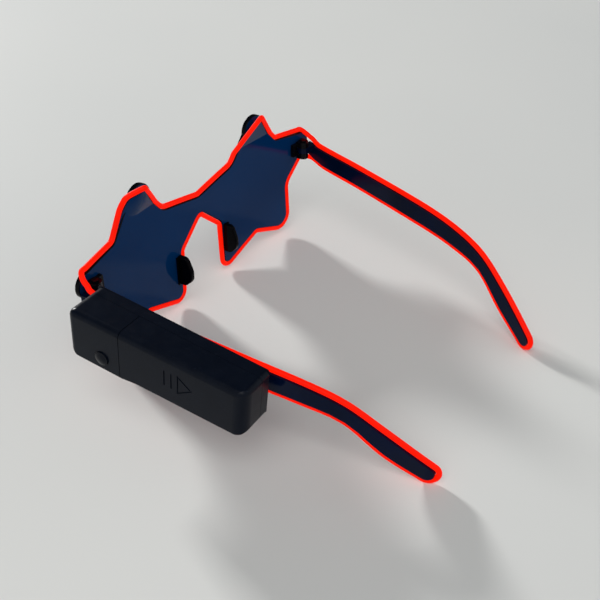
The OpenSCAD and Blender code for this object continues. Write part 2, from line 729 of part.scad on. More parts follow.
module power_button() {
    color("#15181c") in_box() translate([0, button_at[0], button_at[1]]) rotate([0, 90, 0]) {
        under = face_x(button_at[0] + button_r + 1) - wall - 0.1;
        top = face_x(button_at[0]) + button_up;
        translate([0, 0, switch_top + button_travel + 0.1])
            cylinder(r = stem_r, h = under - switch_top - 1, $fn = 48);
        translate([0, 0, under - flange_t]) intersection() {
            cylinder(r = button_r + flange_w, h = flange_t, $fn = fine);
            translate([-2 * button_r, -2 * button_r, 0]) cube([2 * button_r + 2.6, 4 * button_r, 2]);
        }
        translate([0, 0, under - overlap])
            cylinder(r = button_r, h = top - dome_h + 0.15 + overlap - under, $fn = fine);
        translate([0, 0, top - dome_h]) intersection() {
            cylinder(r = button_r, h = 2, $fn = fine);
            translate([0, 0, dome_h - dome_r]) sphere(r = dome_r, $fn = 200);
        }
    }
}

dome_r = 6;
dome_h = 0.75;
stem_r = 1.5;
flange_t = 0.7;
flange_w = 0.8;
switch_h = 3.3;
switch_top = board_x + board_t + switch_h + 0.9;

module box_screws() {
    color("silver") on_left() for (i = [0, 1])
        translate([temple_off - temple_t / 2, box_feet[i], foot_height(box_feet[i])]) rotate([0, 90, 0]) {
            translate([0, 0, -foot_screw_head_h - thread_gap]) difference() {
                cylinder(d = foot_screw_head_d, h = foot_screw_head_h, $fn = 48);
                for (a = [0, 90]) rotate([0, 0, a]) translate([-1.1, -0.25, -1]) cube([2.2, 0.5, 1.6]);
            }
            translate([0, 0, -thread_gap - overlap])
                cylinder(d = foot_screw_d, h = temple_t + foot_depth[i] - 0.6, $fn = 48);
        }
}

module cap_screws() {
    color("silver") in_box() for (p = posts) translate([0.05, p[0], p[1]]) rotate([0, 90, 0]) {
        difference() {
            cylinder(r = post_head_r, h = post_head_h, $fn = 48);
            for (a = [0, 90]) rotate([0, 0, a]) translate([-0.9, -0.2, -1]) cube([1.8, 0.4, 1.5]);
        }
        cylinder(d = post_screw_d, h = boss_h + 5, $fn = 48);
    }
}

// Inside the driver section

board_y = [wall + 0.5, divider_y - 0.4];
board_z = [-box_h + wall + 0.2, -wall - 0.5];
corner_cut = 5;
post_room = post_r + 0.3;

module driver_board() {
    color("#1f6b3a") in_box() difference() {
        translate([board_x + 0.02, board_y[0], board_z[0]])
            cube([board_t - 0.02, board_y[1] - board_y[0], board_z[1] - board_z[0]]);
        for (i = [0, 1]) let (back = i == 0 ? corner_cut : post_room)
            translate([board_x - 1, posts[i][0] - back, posts[i][1] - back])
                cube([board_t + 2, corner_cut + post_room, corner_cut + post_room]);
        translate([board_x - 1, lead_hole[0], lead_hole[1] - 0.1]) rotate([0, 90, 0])
            cylinder(d = 0.9, h = board_t + 2, $fn = 24);
    }
}

part_gap = 0.03;
part_x = board_x + board_t + part_gap;

switch_w = 4.4;
plunger_r = 1.1;

module tact_switch() {
    color("#2a2c30") on_board(button_at) {
        translate([-switch_w / 2, -switch_w / 2, 0]) cube([switch_w, switch_w, switch_h]);
        cylinder(r = plunger_r, h = switch_top - board_x - board_t - 0.05, $fn = 36);
    }
}

coil_at = [5.4, -box_h / 2];
coil_r = 3.4;
coil_h = 4.4;
flange = 0.8;
spool_r = coil_r - 1.5;
turns_gap = 0.05;

// A part that stands on the driver board, turned from its profile
module on_board(at) {
    in_box() translate([part_x, at[0], at[1]]) rotate([0, 90, 0]) children();
}

module inverter_core() {
    color("#3b3b3f") on_board(coil_at) rotate_extrude($fn = 64)
        polygon([[0, 0], [coil_r, 0], [coil_r, flange], [spool_r, flange], [spool_r, coil_h - flange],
            [coil_r, coil_h - flange], [coil_r, coil_h], [0, coil_h]]);
}

module inverter_winding() {
    inner = spool_r + turns_gap;
    low = flange + turns_gap;
    high = coil_h - flange - turns_gap;
    color("#b4652a") on_board(coil_at) rotate_extrude($fn = 64)
        polygon([[inner, low], [coil_r - 0.4, low], [coil_r - 0.25, coil_h / 2], [coil_r - 0.4, high],
            [inner, high]]);
}

capacitor_at = [seam_y - 5.4, 0.9 - box_h / 2];
capacitor_r = 2;
capacitor_h = 4.8;

module capacitor() {
    r = capacitor_r;
    color("#22242c") on_board(capacitor_at) rotate_extrude($fn = 64)
        polygon([[0, 0], [r - 0.1, 0], [r, 0.3], [r, 0.8], [r - 0.15, 1.0], [r, 1.2],
            [r, capacitor_h - 0.2], [r - 0.2, capacitor_h], [0, capacitor_h]]);
}

transistor_at = [10.6, 0.4 - box_h / 2];
transistor_r = 1.5;
transistor_h = 3.2;

module transistor() {
    color("#17181a") on_board(transistor_at) difference() {
        cylinder(r = transistor_r, h = transistor_h, $fn = 48);
        translate([-2 * transistor_r, 0.8, -1]) cube([4 * transistor_r, 3, transistor_h + 2]);
    }
}

// The lead from the driver board through the inner shell to the glowing wire
module wire_lead() {
    color("#101114") in_box() tube(lead_path, lead_d, start = [0, 0.3, 1]);
}

lead_path = concat([[board_x - 0.4, lead_hole[0], lead_hole[1]], [2, lead_hole[0], lead_hole[1]]],
    bezier([0.6, lead_hole[0], lead_hole[1]], [-1.4, lead_hole[0], lead_hole[1]],
        [-1.55, lead_hole[0] + 0.6, lead_hole[1]], [-1.6, lead_hole[0] + 2.8, lead_hole[1] - 0.3], 6));

// The battery cell and its contacts
nub_r = 1.9;
nub_h = 0.8;
strip_w = 0.76 * cell_d;

module battery_cell() {
    r = cell_d / 2;
    color("#c8a24a") in_box() translate([cell_x, cell_y, cell_z]) rotate([-90, 0, 0])
        rotate_extrude($fn = fine)
            polygon([[0, 0], [nub_r, 0], [nub_r, nub_h], [r - 0.5, nub_h], [r, nub_h + 0.5],
            [r, cell_l - 0.4], [r - 0.4, cell_l], [0, cell_l]]);
}

spring_turns = 3;
spring_wire = 0.45;
spring_end_r = 1.6;
spring_steps = 12;
spring_from = rear_strip_y - spring_wire / 2 - thread_gap;
spring_rise = spring_l - spring_wire - 0.1;
spring_path = [for (i = [0 : spring_turns * spring_steps])
    let (t = i / (spring_turns * spring_steps), r = mix(spring_r, spring_end_r, t),
        a = 360 * spring_turns * t)
    [cell_x + r * cos(a), spring_from - t * spring_rise, cell_z + r * sin(a)]];

module contact_spring() {
    color("silver") in_box() tube(spring_path, spring_wire, sides = 6, start = [0.1, 1, 0.05]);
}

module contact_plate() {
    low = cell_x - strip_w / 2 + 0.3;
    color("silver") in_box() {
        translate([low, divider_y + divider_t + thread_gap, cell_z - strip_w / 2])
            cube([strip_w - 0.6, strip_t - thread_gap, strip_w]);
        translate([low, rear_strip_y, cell_z - strip_w / 2])
            cube([strip_w - 0.6, strip_t - thread_gap, strip_w]);
    }
}

lens_plate();
upper_wire();
lower_wire();
left_nose_pad();
right_nose_pad();
left_front_hinge();
right_front_hinge();
left_hinge_screw();
right_hinge_screw();
left_temple();
left_temple_wire();
right_temple();
right_temple_wire();
box_base();
driver_cap();
battery_cover();
power_button();
box_screws();
cap_screws();
driver_board();
tact_switch();
inverter_core();
inverter_winding();
capacitor();
transistor();
wire_lead();
battery_cell();
contact_spring();
contact_plate();
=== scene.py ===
# %% [markdown]
# Star glasses with a glowing edge
#
# These are dark plastic glasses with two star-shaped windows in one sheet. A glowing wire runs round
# every edge, and a battery box sits on the wearer's left temple. The CAD model gives the frame: every
# piece below is made in metres in that same frame, and rides on the CAD body that carries it.

# %% Load the frame
import math

import bmesh
import bpy
from mathutils import Matrix, Vector
from mathutils.geometry import delaunay_2d_cdt


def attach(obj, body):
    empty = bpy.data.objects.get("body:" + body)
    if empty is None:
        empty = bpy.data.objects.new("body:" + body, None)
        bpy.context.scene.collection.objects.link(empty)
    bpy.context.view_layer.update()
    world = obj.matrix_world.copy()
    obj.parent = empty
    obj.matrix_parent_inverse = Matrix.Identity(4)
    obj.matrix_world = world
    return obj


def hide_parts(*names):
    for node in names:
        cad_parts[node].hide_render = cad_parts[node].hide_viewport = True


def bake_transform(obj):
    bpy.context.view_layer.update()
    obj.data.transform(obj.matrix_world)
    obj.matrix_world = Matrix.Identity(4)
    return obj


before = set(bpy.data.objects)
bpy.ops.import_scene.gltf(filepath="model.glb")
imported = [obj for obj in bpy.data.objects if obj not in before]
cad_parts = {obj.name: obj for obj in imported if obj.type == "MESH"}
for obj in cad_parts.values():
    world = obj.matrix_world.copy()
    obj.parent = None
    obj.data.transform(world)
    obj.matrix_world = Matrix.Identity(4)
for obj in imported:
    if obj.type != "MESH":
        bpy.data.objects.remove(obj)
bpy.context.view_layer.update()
MM = 0.001

# %% [markdown]
# Camera
#
# The photograph looks down from behind the wearer's left shoulder. A camera could be turned by hand until
# it looks right. Here its place, its three axes and its focal length were worked out from the object's
# corners, so the render lines up with the photograph at once.

# %% Camera
CAMERA_AT = Vector((241.4, 213.7, 230.3)) * MM
AZIMUTH, ELEVATION, ROLL = math.radians(123.8), math.radians(36.4), math.radians(0.3)
FOCAL_PIXELS, FRAME_PIXELS = 902.0, 600.0
CENTRE_OFF_PIXELS = (2.8, 4.1)

ground = math.cos(ELEVATION)
back = Vector((math.sin(AZIMUTH) * ground, -math.cos(AZIMUTH) * ground, math.sin(ELEVATION)))
right = Vector((math.cos(AZIMUTH), math.sin(AZIMUTH), 0.0))
turn = Matrix.Rotation(ROLL, 3, back)
axes = Matrix((turn @ right, turn @ back.cross(right), back)).transposed()

camera_data = bpy.data.cameras.new("camera")
camera_data.sensor_width = 36.0
camera_data.lens = FOCAL_PIXELS / FRAME_PIXELS * camera_data.sensor_width
camera_data.shift_x = -CENTRE_OFF_PIXELS[0] / FRAME_PIXELS
camera_data.shift_y = -CENTRE_OFF_PIXELS[1] / FRAME_PIXELS
camera_data.clip_start = 0.01
camera = bpy.data.objects.new("camera", camera_data)
camera.matrix_world = Matrix.Translation(CAMERA_AT) @ axes.to_4x4()
bpy.context.scene.collection.objects.link(camera)
bpy.context.scene.camera = camera
print("camera at", [round(v, 4) for v in CAMERA_AT])

# %% [markdown]
# Material helpers
#
# Every finish here is a Principled shader with a little procedural detail on top: a fine grain in the
# bump, and a slow change in colour and roughness, because moulded plastic is never one even value. An
# image could give the same, but noise needs no unwrapping. The patterns read Object coordinates, so they
# stay on a piece that moves.

# %% Material helpers
def srgb(r, g, b):
    """A colour given as 0 to 255 on a screen, as linear light."""
    return [((v / 255 + 0.055) / 1.055) ** 2.4 if v > 10.3 else v / 255 / 12.92 for v in (r, g, b)] + [1.0]


class Finish:
    """A node material under construction."""

    def __init__(self, name):
        self.material = bpy.data.materials.new(name)
        self.material.use_nodes = True
        self.tree = self.material.node_tree
        self.shader = self.tree.nodes["Principled BSDF"]
        self.place = self.node("ShaderNodeTexCoord").outputs["Object"]

    def node(self, kind, **settings):
        made = self.tree.nodes.new(kind)
        for key, value in settings.items():
            setattr(made, key, value)
        return made

    def link(self, a, b):
        self.tree.links.new(a, b)

    def set(self, **values):
        for key, value in values.items():
            self.shader.inputs[key.replace("_", " ")].default_value = value
        return self

    def noise(self, scale, detail=2.0, stretch=(1, 1, 1)):
        mapping = self.node("ShaderNodeMapping")
        mapping.inputs["Scale"].default_value = stretch
        self.link(self.place, mapping.inputs["Vector"])
        texture = self.node("ShaderNodeTexNoise")
        texture.inputs["Scale"].default_value = scale
        texture.inputs["Detail"].default_value = detail
        self.link(mapping.outputs["Vector"], texture.inputs["Vector"])
        return texture.outputs["Fac"]

    def spread(self, value, low, high, start=0.3, stop=0.7):
        ramp = self.node("ShaderNodeMapRange")
        ramp.inputs["From Min"].default_value = start
        ramp.inputs["From Max"].default_value = stop
        ramp.inputs["To Min"].default_value = low
        ramp.inputs["To Max"].default_value = high
        self.link(value, ramp.inputs["Value"])
        return ramp.outputs["Result"]

    def mixed(self, factor, first, second):
        """A colour between two, each given as a colour or as a socket."""
        mix = self.node("ShaderNodeMix", data_type="RGBA")
        self.link(factor, mix.inputs["Factor"])
        for name, colour in (("A", first), ("B", second)):
            if isinstance(colour, bpy.types.NodeSocket):
                self.link(colour, mix.inputs[name])
            else:
                mix.inputs[name].default_value = colour
        return mix.outputs["Result"]

    def two_tone(self, value, first, second, start=0.3, stop=0.7):
        return self.mixed(self.spread(value, 0.0, 1.0, start, stop), first, second)

    def bump(self, height, distance, strength=1.0, after=None):
        bump = self.node("ShaderNodeBump")
        bump.inputs["Distance"].default_value = distance
        bump.inputs["Strength"].default_value = strength
        self.link(height, bump.inputs["Height"])
        if after:
            self.link(after, bump.inputs["Normal"])
        return bump.outputs["Normal"]


SPECK_SCALE, WAVE_SCALE, GLOSS_FINER = 2200, 28, 2.3


def moulded(name, dark, light, rough, level, grain=(900, 1e-6), patch=60, speck=None, wave=0.0):
    """Moulded plastic: two close colours in slow patches, a fine grain, uneven gloss, perhaps pale specks."""
    f = Finish(name)
    colour = f.two_tone(f.noise(patch, 3.0), dark, light)
    if speck:
        dusty = f.spread(f.noise(SPECK_SCALE, 2.0), 0.0, 0.6, 0.64, 0.74)
        colour = f.mixed(dusty, colour, speck)
    f.link(colour, f.shader.inputs["Base Color"])
    f.link(f.spread(f.noise(patch * GLOSS_FINER, 2.0), rough[0], rough[1]), f.shader.inputs["Roughness"])
    slow = f.bump(f.noise(WAVE_SCALE, 1.0), wave) if wave else None
    f.link(f.bump(f.noise(grain[0], 2.0), grain[1], after=slow), f.shader.inputs["Normal"])
    f.set(Specular_IOR_Level=level)
    return f.material


# %% [markdown]
# Plastics
#
# The temples are polished navy, the hinges and pads polished black. The battery box has a fine matt grain
# that holds a little dust. All are so dark that most of what is seen of them is their gloss, so each gets
# its own roughness and specular level rather than a lighter colour.

# %% Plastics
BLACK = moulded("black_gloss", srgb(2, 3, 6), srgb(4, 5, 9), (0.18, 0.26), 0.12)
PAD = moulded("pad_gloss", srgb(1, 1, 3), srgb(2, 3, 5), (0.14, 0.22), 0.04)
TEMPLE = moulded("temple_gloss", srgb(3, 16, 44), srgb(2, 11, 32), (0.10, 0.18), 0.10, wave=3e-4)
CASE = moulded("case_satin", srgb(4, 9, 20), srgb(7, 13, 24), (0.28, 0.34), 0.10, (3200, 4e-6), 140,
               srgb(28, 34, 46))
BUTTON = moulded("button_satin", srgb(4, 8, 17), srgb(7, 12, 21), (0.25, 0.32), 0.12, (3200, 3e-6), 140)
FERRITE = moulded("ferrite", srgb(52, 52, 56), srgb(66, 66, 70), (0.5, 0.7), 0.4, (1500, 1e-5))
PART = moulded("component", srgb(22, 23, 27), srgb(30, 31, 36), (0.3, 0.45), 0.5, (1500, 5e-6))
LEAD = moulded("lead_skin", srgb(16, 16, 18), srgb(24, 24, 27), (0.4, 0.55), 0.4, (1500, 5e-6))


def window():
    """The star sheet: gloss navy, with painted shade in black on its cut edge and in a thin line beside it,
    for the dark gap beside the wire.
    """
    f = Finish("navy_window")
    body = f.two_tone(f.noise(18, 2.0), srgb(3, 38, 78), srgb(3, 45, 88))
    # Painted shade: the marked edge band is mixed to black, for the dark gap between the sheet and its wire.
    shade_band = f.node("ShaderNodeAttribute", attribute_name="shade_band").outputs["Fac"]
    f.link(f.mixed(f.spread(shade_band, 0.0, 1.0, 0.25, 0.6), body, srgb(2, 3, 6)), f.shader.inputs["Base Color"])
    f.link(f.spread(f.noise(70, 2.0), 0.05, 0.10), f.shader.inputs["Roughness"])
    f.link(f.bump(f.noise(16, 1.0), 1.5e-4), f.shader.inputs["Normal"])
    f.set(Specular_IOR_Level=0.07)
    return f.material


def glow():
    """The wire: a lit core in a clear red sheath, a little dimmer here and there along it."""
    f = Finish("glowing_wire")
    f.set(Base_Color=srgb(70, 2, 0), Roughness=0.4, Specular_IOR_Level=0.06, Emission_Strength=1.0)
    core = f.two_tone(f.noise(120, 2.0), srgb(255, 24, 0), srgb(238, 20, 0), 0.35, 0.75)
    f.link(core, f.shader.inputs["Emission Color"])
    return f.material


def metal(name, colour, rough, lines):
    """Turned or drawn metal: fine lines in the bump and an uneven polish."""
    f = Finish(name)
    f.set(Base_Color=colour, Metallic=1.0)
    f.link(f.spread(f.noise(400, 3.0), rough, rough + 0.15), f.shader.inputs["Roughness"])
    f.link(f.bump(f.noise(lines, 3.0, (1, 1, 8)), 3e-6), f.shader.inputs["Normal"])
    return f.material


def circuit_board():
    """Green lacquer over copper tracks that run in steps across the board."""
    f = Finish("circuit_board")
    grid = f.node("ShaderNodeTexBrick")
    grid.inputs["Scale"].default_value = 420
    grid.inputs["Mortar Size"].default_value = 0.12
    grid.inputs["Color1"].default_value = srgb(28, 104, 58)
    grid.inputs["Color2"].default_value = srgb(24, 92, 52)
    grid.inputs["Mortar"].default_value = srgb(60, 140, 80)
    f.link(f.place, grid.inputs["Vector"])
    f.link(grid.outputs["Color"], f.shader.inputs["Base Color"])
    f.link(f.bump(grid.outputs["Fac"], 2e-5), f.shader.inputs["Normal"])
    f.set(Roughness=0.35)
    return f.material


def wound_copper():
    """Enamelled copper turns, shown as close rings."""
    f = Finish("wound_copper")
    f.set(Metallic=1.0, Roughness=0.32)
    rings = f.node("ShaderNodeTexWave", wave_type="BANDS", bands_direction="X")
    rings.inputs["Scale"].default_value = 900
    rings.inputs["Distortion"].default_value = 0.6
    f.link(f.place, rings.inputs["Vector"])
    colour = f.two_tone(rings.outputs["Fac"], srgb(120, 52, 20), srgb(205, 112, 60))
    f.link(colour, f.shader.inputs["Base Color"])
    f.link(f.bump(rings.outputs["Fac"], 4e-5), f.shader.inputs["Normal"])
    return f.material


WINDOW = window()
GLOW = glow()
STEEL = metal("bright_steel", srgb(205, 206, 210), 0.16, 1400)
CELL = metal("cell_can", srgb(196, 170, 104), 0.26, 900)
BOARD = circuit_board()
COPPER = wound_copper()
print("materials:", [m.name for m in bpy.data.materials if m.use_nodes])

# %% [markdown]
# Outline geometry
#
# The front's edge is drawn as corners, each with its own radius, in the flat. It could be drawn by hand
# as one curve, but the same corners give the sheet's edge and the wire's path, so the wire always lies on
# the sheet. Afterwards the flat shape is wrapped round a large cylinder, as the real sheet is.

# %% Sizes of the front, in millimetres
WRAP_R, SHEET_T = 554.0, 2.0
WIRE_D, GLUE, FOOT_LIFT = 2.1, 0.05, 0.05
EDGE_IN = WIRE_D / 2 + GLUE
FOOT_Z = WIRE_D / 2 + FOOT_LIFT
BRIDGE_Z, NOTCH_Z, NOTCH_R = 45.9, 37.1, 2.6
# Corners of the wire's path round one star: x, z and the corner's radius
TOP_IN, TOP_TIP, TOP_OUT = (21.4, 50.4, 7), (35.8, 67.9, 0.9), (51.2, 51.0, 3)
TOP_SIDE, LEAN_WIDTH = (42.0, 65.4, 4), 9.0
UPPER_END, LOWER_END = (69.3, 48.0, 3), (68.4, 36.2, 3)
SIDE_OUT, FOOT_OUT, FOOT_MID = (58.0, 25.7, 7), (59.4, FOOT_Z, 6), (36.4, 10.0, 3)
FOOT_IN, NOTCH_IN = (13.2, FOOT_Z, 4.2), (12.3, 25.8, 3)
# The lean of the wire's tips, and the centres of the sheet's round tips and ends
TIP_LEAN, LEAN_FROM, LEAN_TO, LOW_BACK = 5.9, 54.0, 67.9, 0.4
TIP_R, TIP_DROP, LEFT_TIP_IN, RIGHT_TIP_OUT = 6.3, 0.2, 1.7, 1.3
TIP_Z = LEAN_TO - EDGE_IN - TIP_DROP - TIP_R
LEFT_TIP, RIGHT_TIP = (TOP_TIP[0] - LEFT_TIP_IN, TIP_Z), (TOP_TIP[0] + RIGHT_TIP_OUT, TIP_Z)
END_R, END_IN, END_UP = 5.1, 2.0, 0.5
END_C = (UPPER_END[0] - END_IN, UPPER_END[1] - EDGE_IN + END_UP - END_R)
HINGE_X, HINGE_Z, KNUCKLE_R, KNUCKLE_GAP = 66.0, 40.4, 2.4, 0.25


def wrap_y(x):
    """How far the sheet has curved back at x."""
    return WRAP_R - math.sqrt(WRAP_R ** 2 - x * x)


def back_y(x):
    """The sheet's back face at x."""
    return WRAP_R - math.sqrt((WRAP_R - SHEET_T / 2) ** 2 - x * x)


HINGE_Y = back_y(HINGE_X) + KNUCKLE_R + KNUCKLE_GAP


def lean(z):
    """The wire's top tips lean back off the sheet."""
    return 0.0 if z < LEAN_FROM else TIP_LEAN * (z - LEAN_FROM) / (LEAN_TO - LEAN_FROM)


def flat(c):
    """A corner or point as a 2-D vector."""
    return Vector((c[0], c[1]))


MOST_OF_SIDE = 0.45


def round_corner(p, q, s, r, steps):
    """Points of a round corner at q between its neighbours p and s."""
    u, v = (p - q).normalized(), (s - q).normalized()
    half = math.acos(max(-1.0, min(1.0, u.dot(v)))) / 2
    reach = min(r / math.tan(half), MOST_OF_SIDE * (p - q).length, MOST_OF_SIDE * (s - q).length)
    rr = reach * math.tan(half)
    centre = q + (u + v).normalized() * rr / math.sin(half)
    e1 = (q + u * reach - centre).normalized()
    e2 = (-u - e1 * (-u).dot(e1)).normalized()
    turn = math.pi - 2 * half
    return [centre + rr * (math.cos(turn * i / steps) * e1 + math.sin(turn * i / steps) * e2)
            for i in range(steps + 1)]


def round_path(corners, steps=12):
    """An open path whose inner corners are rounded."""
    out = [flat(corners[0])]
    for p, q, s in zip(corners, corners[1:], corners[2:]):
        out += round_corner(flat(p), flat(q), flat(s), q[2], steps)
    return out + [flat(corners[-1])]


def divide(points, gap):
    """The same path with points no further apart than gap."""
    out = []
    for a, b in zip(points, points[1:]):
        n = max(1, math.ceil((b - a).length / gap))
        out += [a.lerp(b, k / n) for k in range(n)]
    return out + [points[-1]]


def star_point(p):
    """A point of the flat outline on the wrapped sheet."""
    return Vector((p[0], wrap_y(p[0]) + lean(p[1]), p[1]))


def low_point(p):
    """The wire round the feet lies a little behind the sheet's middle."""
    return Vector((p[0], wrap_y(p[0]) + LOW_BACK, p[1]))


def left_point(p):
    """The left star's wire comes back to the sheet sooner, and runs round the sheet's tip."""
    share = min(1.0, max(0.0, 1 - (p[0] - TOP_TIP[0]) / LEAN_WIDTH))
    return Vector((p[0], wrap_y(p[0]) + lean(p[1]) * share, p[1]))


def bezier(a, b, c, d, n):
    """A curve from a to d, pulled towards b and c."""
    return [(1 - t) ** 3 * a + 3 * (1 - t) ** 2 * t * b + 3 * (1 - t) * t * t * c + t ** 3 * d
            for t in [i / n for i in range(1, n + 1)]]


print("hinge axis at y =", round(HINGE_Y, 3), "mm")

# %% [markdown]
# Glowing wire
#
# The real wire is a thin clear tube with a lit core, glued along the edge. A curve's own bevel could give
# it, but it is one long path with the same round section everywhere, which suits Geometry Nodes: they
# sweep a circle along a curve. The tree is built once, with the wire's diameter as its input, and every
# stretch of wire uses it.

# %% The wire's node tree
def sweep_tree():
    """Geometry Nodes that turn a curve into a round wire."""
    tree = bpy.data.node_groups.new("sweep_wire", "GeometryNodeTree")
    face = tree.interface
    face.new_socket("Path", in_out="INPUT", socket_type="NodeSocketGeometry")
    for name, kind in (("Diameter", "Float"), ("Sides", "Int"), ("Skin", "Material")):
        face.new_socket(name, in_out="INPUT", socket_type="NodeSocket" + kind)
    face.new_socket("Wire", in_out="OUTPUT", socket_type="NodeSocketGeometry")
    nodes, link = tree.nodes, tree.links.new
    start, end = nodes.new("NodeGroupInput"), nodes.new("NodeGroupOutput")
    halve = nodes.new("ShaderNodeMath")
    halve.operation = "DIVIDE"
    halve.inputs[1].default_value = 2.0
    ring = nodes.new("GeometryNodeCurvePrimitiveCircle")
    sweep = nodes.new("GeometryNodeCurveToMesh")
    sweep.inputs["Fill Caps"].default_value = True
    smooth = nodes.new("GeometryNodeSetShadeSmooth")
    real = nodes.new("GeometryNodeRealizeInstances")
    paint = nodes.new("GeometryNodeSetMaterial")
    link(start.outputs["Diameter"], halve.inputs[0])
    link(halve.outputs[0], ring.inputs["Radius"])
    link(start.outputs["Sides"], ring.inputs["Resolution"])
    link(start.outputs["Path"], sweep.inputs["Curve"])
    link(ring.outputs["Curve"], sweep.inputs["Profile Curve"])
    link(sweep.outputs["Mesh"], smooth.inputs["Geometry"])
    link(smooth.outputs["Geometry"], real.inputs["Geometry"])
    link(real.outputs["Geometry"], paint.inputs["Geometry"])
    link(start.outputs["Skin"], paint.inputs["Material"])
    link(paint.outputs["Geometry"], end.inputs["Wire"])
    return tree


SWEEP = sweep_tree()
SWEEP_IDS = {s.name: s.identifier for s in SWEEP.interface.items_tree if s.in_out == "INPUT"}


def link_object(name, data):
    """A new object in the scene."""
    obj = bpy.data.objects.new(name, data)
    bpy.context.scene.collection.objects.link(obj)
    return obj


def mesh_object(name, verts, faces):
    """A new mesh object whose faces all point outwards."""
    mesh = bpy.data.meshes.new(name)
    mesh.from_pydata(verts, [], faces)
    work = bmesh.new()
    work.from_mesh(mesh)
    bmesh.ops.recalc_face_normals(work, faces=work.faces)
    work.to_mesh(mesh)
    work.free()
    return link_object(name, mesh)


def plain_mesh(obj, name):
    """The evaluated result of obj as a plain mesh object; obj itself is deleted."""
    bpy.context.view_layer.update()
    result = obj.evaluated_get(bpy.context.evaluated_depsgraph_get())
    mesh = bpy.data.meshes.new_from_object(result)
    bpy.data.objects.remove(obj)
    mesh.name = name
    return link_object(name, mesh)


WIRE_SIDES = 16


def wire_piece(name, points):
    """A stretch of wire along 3-D points in millimetres."""
    curve = bpy.data.curves.new(name + "_path", "CURVE")
    curve.dimensions = "3D"
    curve.twist_mode = "MINIMUM"
    spline = curve.splines.new("POLY")
    spline.points.add(len(points) - 1)
    for slot, p in zip(spline.points, points):
        slot.co = (*(Vector(p) * MM), 1.0)
    holder = link_object(name + "_path", curve)
    sweep = holder.modifiers.new("sweep", "NODES")
    sweep.node_group = SWEEP
    sweep[SWEEP_IDS["Diameter"]] = WIRE_D * MM
    sweep[SWEEP_IDS["Sides"]] = WIRE_SIDES
    sweep[SWEEP_IDS["Skin"]] = GLOW
    piece = plain_mesh(holder, name)
    print(name, "-", len(points), "path points,", len(piece.data.polygons), "faces")
    return piece


def mirror_x(points):
    """The mirrored path, from its other end."""
    return [Vector((-p[0], *p[1:])) for p in reversed(points)]


# %% The wire round the front
TURN_STEPS, WIRE_STEP = 16, 1.2
UPPER_FOOT, LOWER_HEAD = (66.9, 48.8), (66.4, 34.3)
UPPER_STOP = Vector((HINGE_X + 4.4, HINGE_Y + 0.2, HINGE_Z + 5.1))
UPPER_OUT, UPPER_BACK = Vector((2.4, -0.7, 0.1)), Vector((-0.1, -1.5, 0.9))
LOWER_STOP = Vector((HINGE_X + 3.4, HINGE_Y - 2.3, HINGE_Z - 5.1))
LOWER_OUT, LOWER_BACK = Vector((1.2, 0.1, 1.2)), Vector((-0.9, -1.0, 0.5))


def turned(start, out, back, stop):
    """The wire's turn from the sheet's edge back towards the temple."""
    return bezier(start, start + out, stop + back, stop, TURN_STEPS)


def upper_half(corners, place):
    """The wire from the bridge over one star to its hinge."""
    points = [place(p) for p in divide(round_path([(0, BRIDGE_Z)] + corners + [UPPER_FOOT]), WIRE_STEP)]
    return points + turned(star_point(UPPER_FOOT), UPPER_OUT, UPPER_BACK, UPPER_STOP)


upper_right = upper_half([TOP_IN, TOP_TIP, TOP_OUT], star_point)
upper_left = upper_half([TOP_IN, TOP_TIP, TOP_SIDE, TOP_OUT], left_point)
front_upper = wire_piece("front_wire_over", mirror_x(upper_right) + upper_left[1:])

lower_flat = round_path([LOWER_HEAD, SIDE_OUT, FOOT_OUT, FOOT_MID, FOOT_IN, NOTCH_IN, (0, NOTCH_Z)])[:-1]
notch_from = lower_flat[-1]
notch_to = Vector((-notch_from[0], notch_from[1]))
notch_arc = round_corner(notch_from, Vector((0, NOTCH_Z)), notch_to, NOTCH_R, TURN_STEPS)
lower_flat = divide(lower_flat + notch_arc[:1], WIRE_STEP)[:-1]
lower_turn = turned(low_point(LOWER_HEAD), LOWER_OUT, LOWER_BACK, LOWER_STOP)
lower_side = lower_turn[::-1] + [low_point(p) for p in lower_flat]
lower_path = lower_side + [low_point(p) for p in notch_arc] + mirror_x(lower_side)
front_lower = wire_piece("front_wire_under", lower_path)
for piece, node in ((front_upper, "upper_wire"), (front_lower, "lower_wire")):
    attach(piece, "front")
    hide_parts(node)

# %% [markdown]
# Temples
#
# A temple is a flat strip cut to a long shape that drops to the ear, and its rear half bends in round the
# head. The strip itself is carried over from the CAD. Its wire is swept here, so it is drawn in the
# temple's own frame, with the hinge axis at zero, and then placed by the hinge. Over the hinge the real
# wire bends when the temple folds; here that stretch is a piece of its own, a curve from the front's
# wire to the temple's, made at rest.

# %% Temple shape and its place
TEMPLE_OFF, TEMPLE_T = 5.15, 2.6
TOE_IN, RIGHT_REST = math.radians(7.5), math.radians(3.3)
BEND_FROM, BEND_R = 63.0, 242.0
# Points of a temple's upper and lower edge: distance behind the hinge axis, and height
TOP_EDGE = [(1.9, 43.8), (5, 42.3), (29, 40.4), (63, 37.0), (84, 33.8), (99, 29.2), (112.3, 20.5),
            (129.3, 7.7)]
LOW_EDGE = [(3, 34.1), (8, 32.6), (29, 30.9), (63, 27.3), (84, 24.7), (99, 20.8), (112.3, 9.9), (125.7, 1.5)]
EDGE_STEP, END_STEPS = 2, 16
END_Y, END_ARC_R, END_FROM, END_TURN = 127.3, 3.6, 56, 172
END_Z = END_ARC_R + FOOT_Z


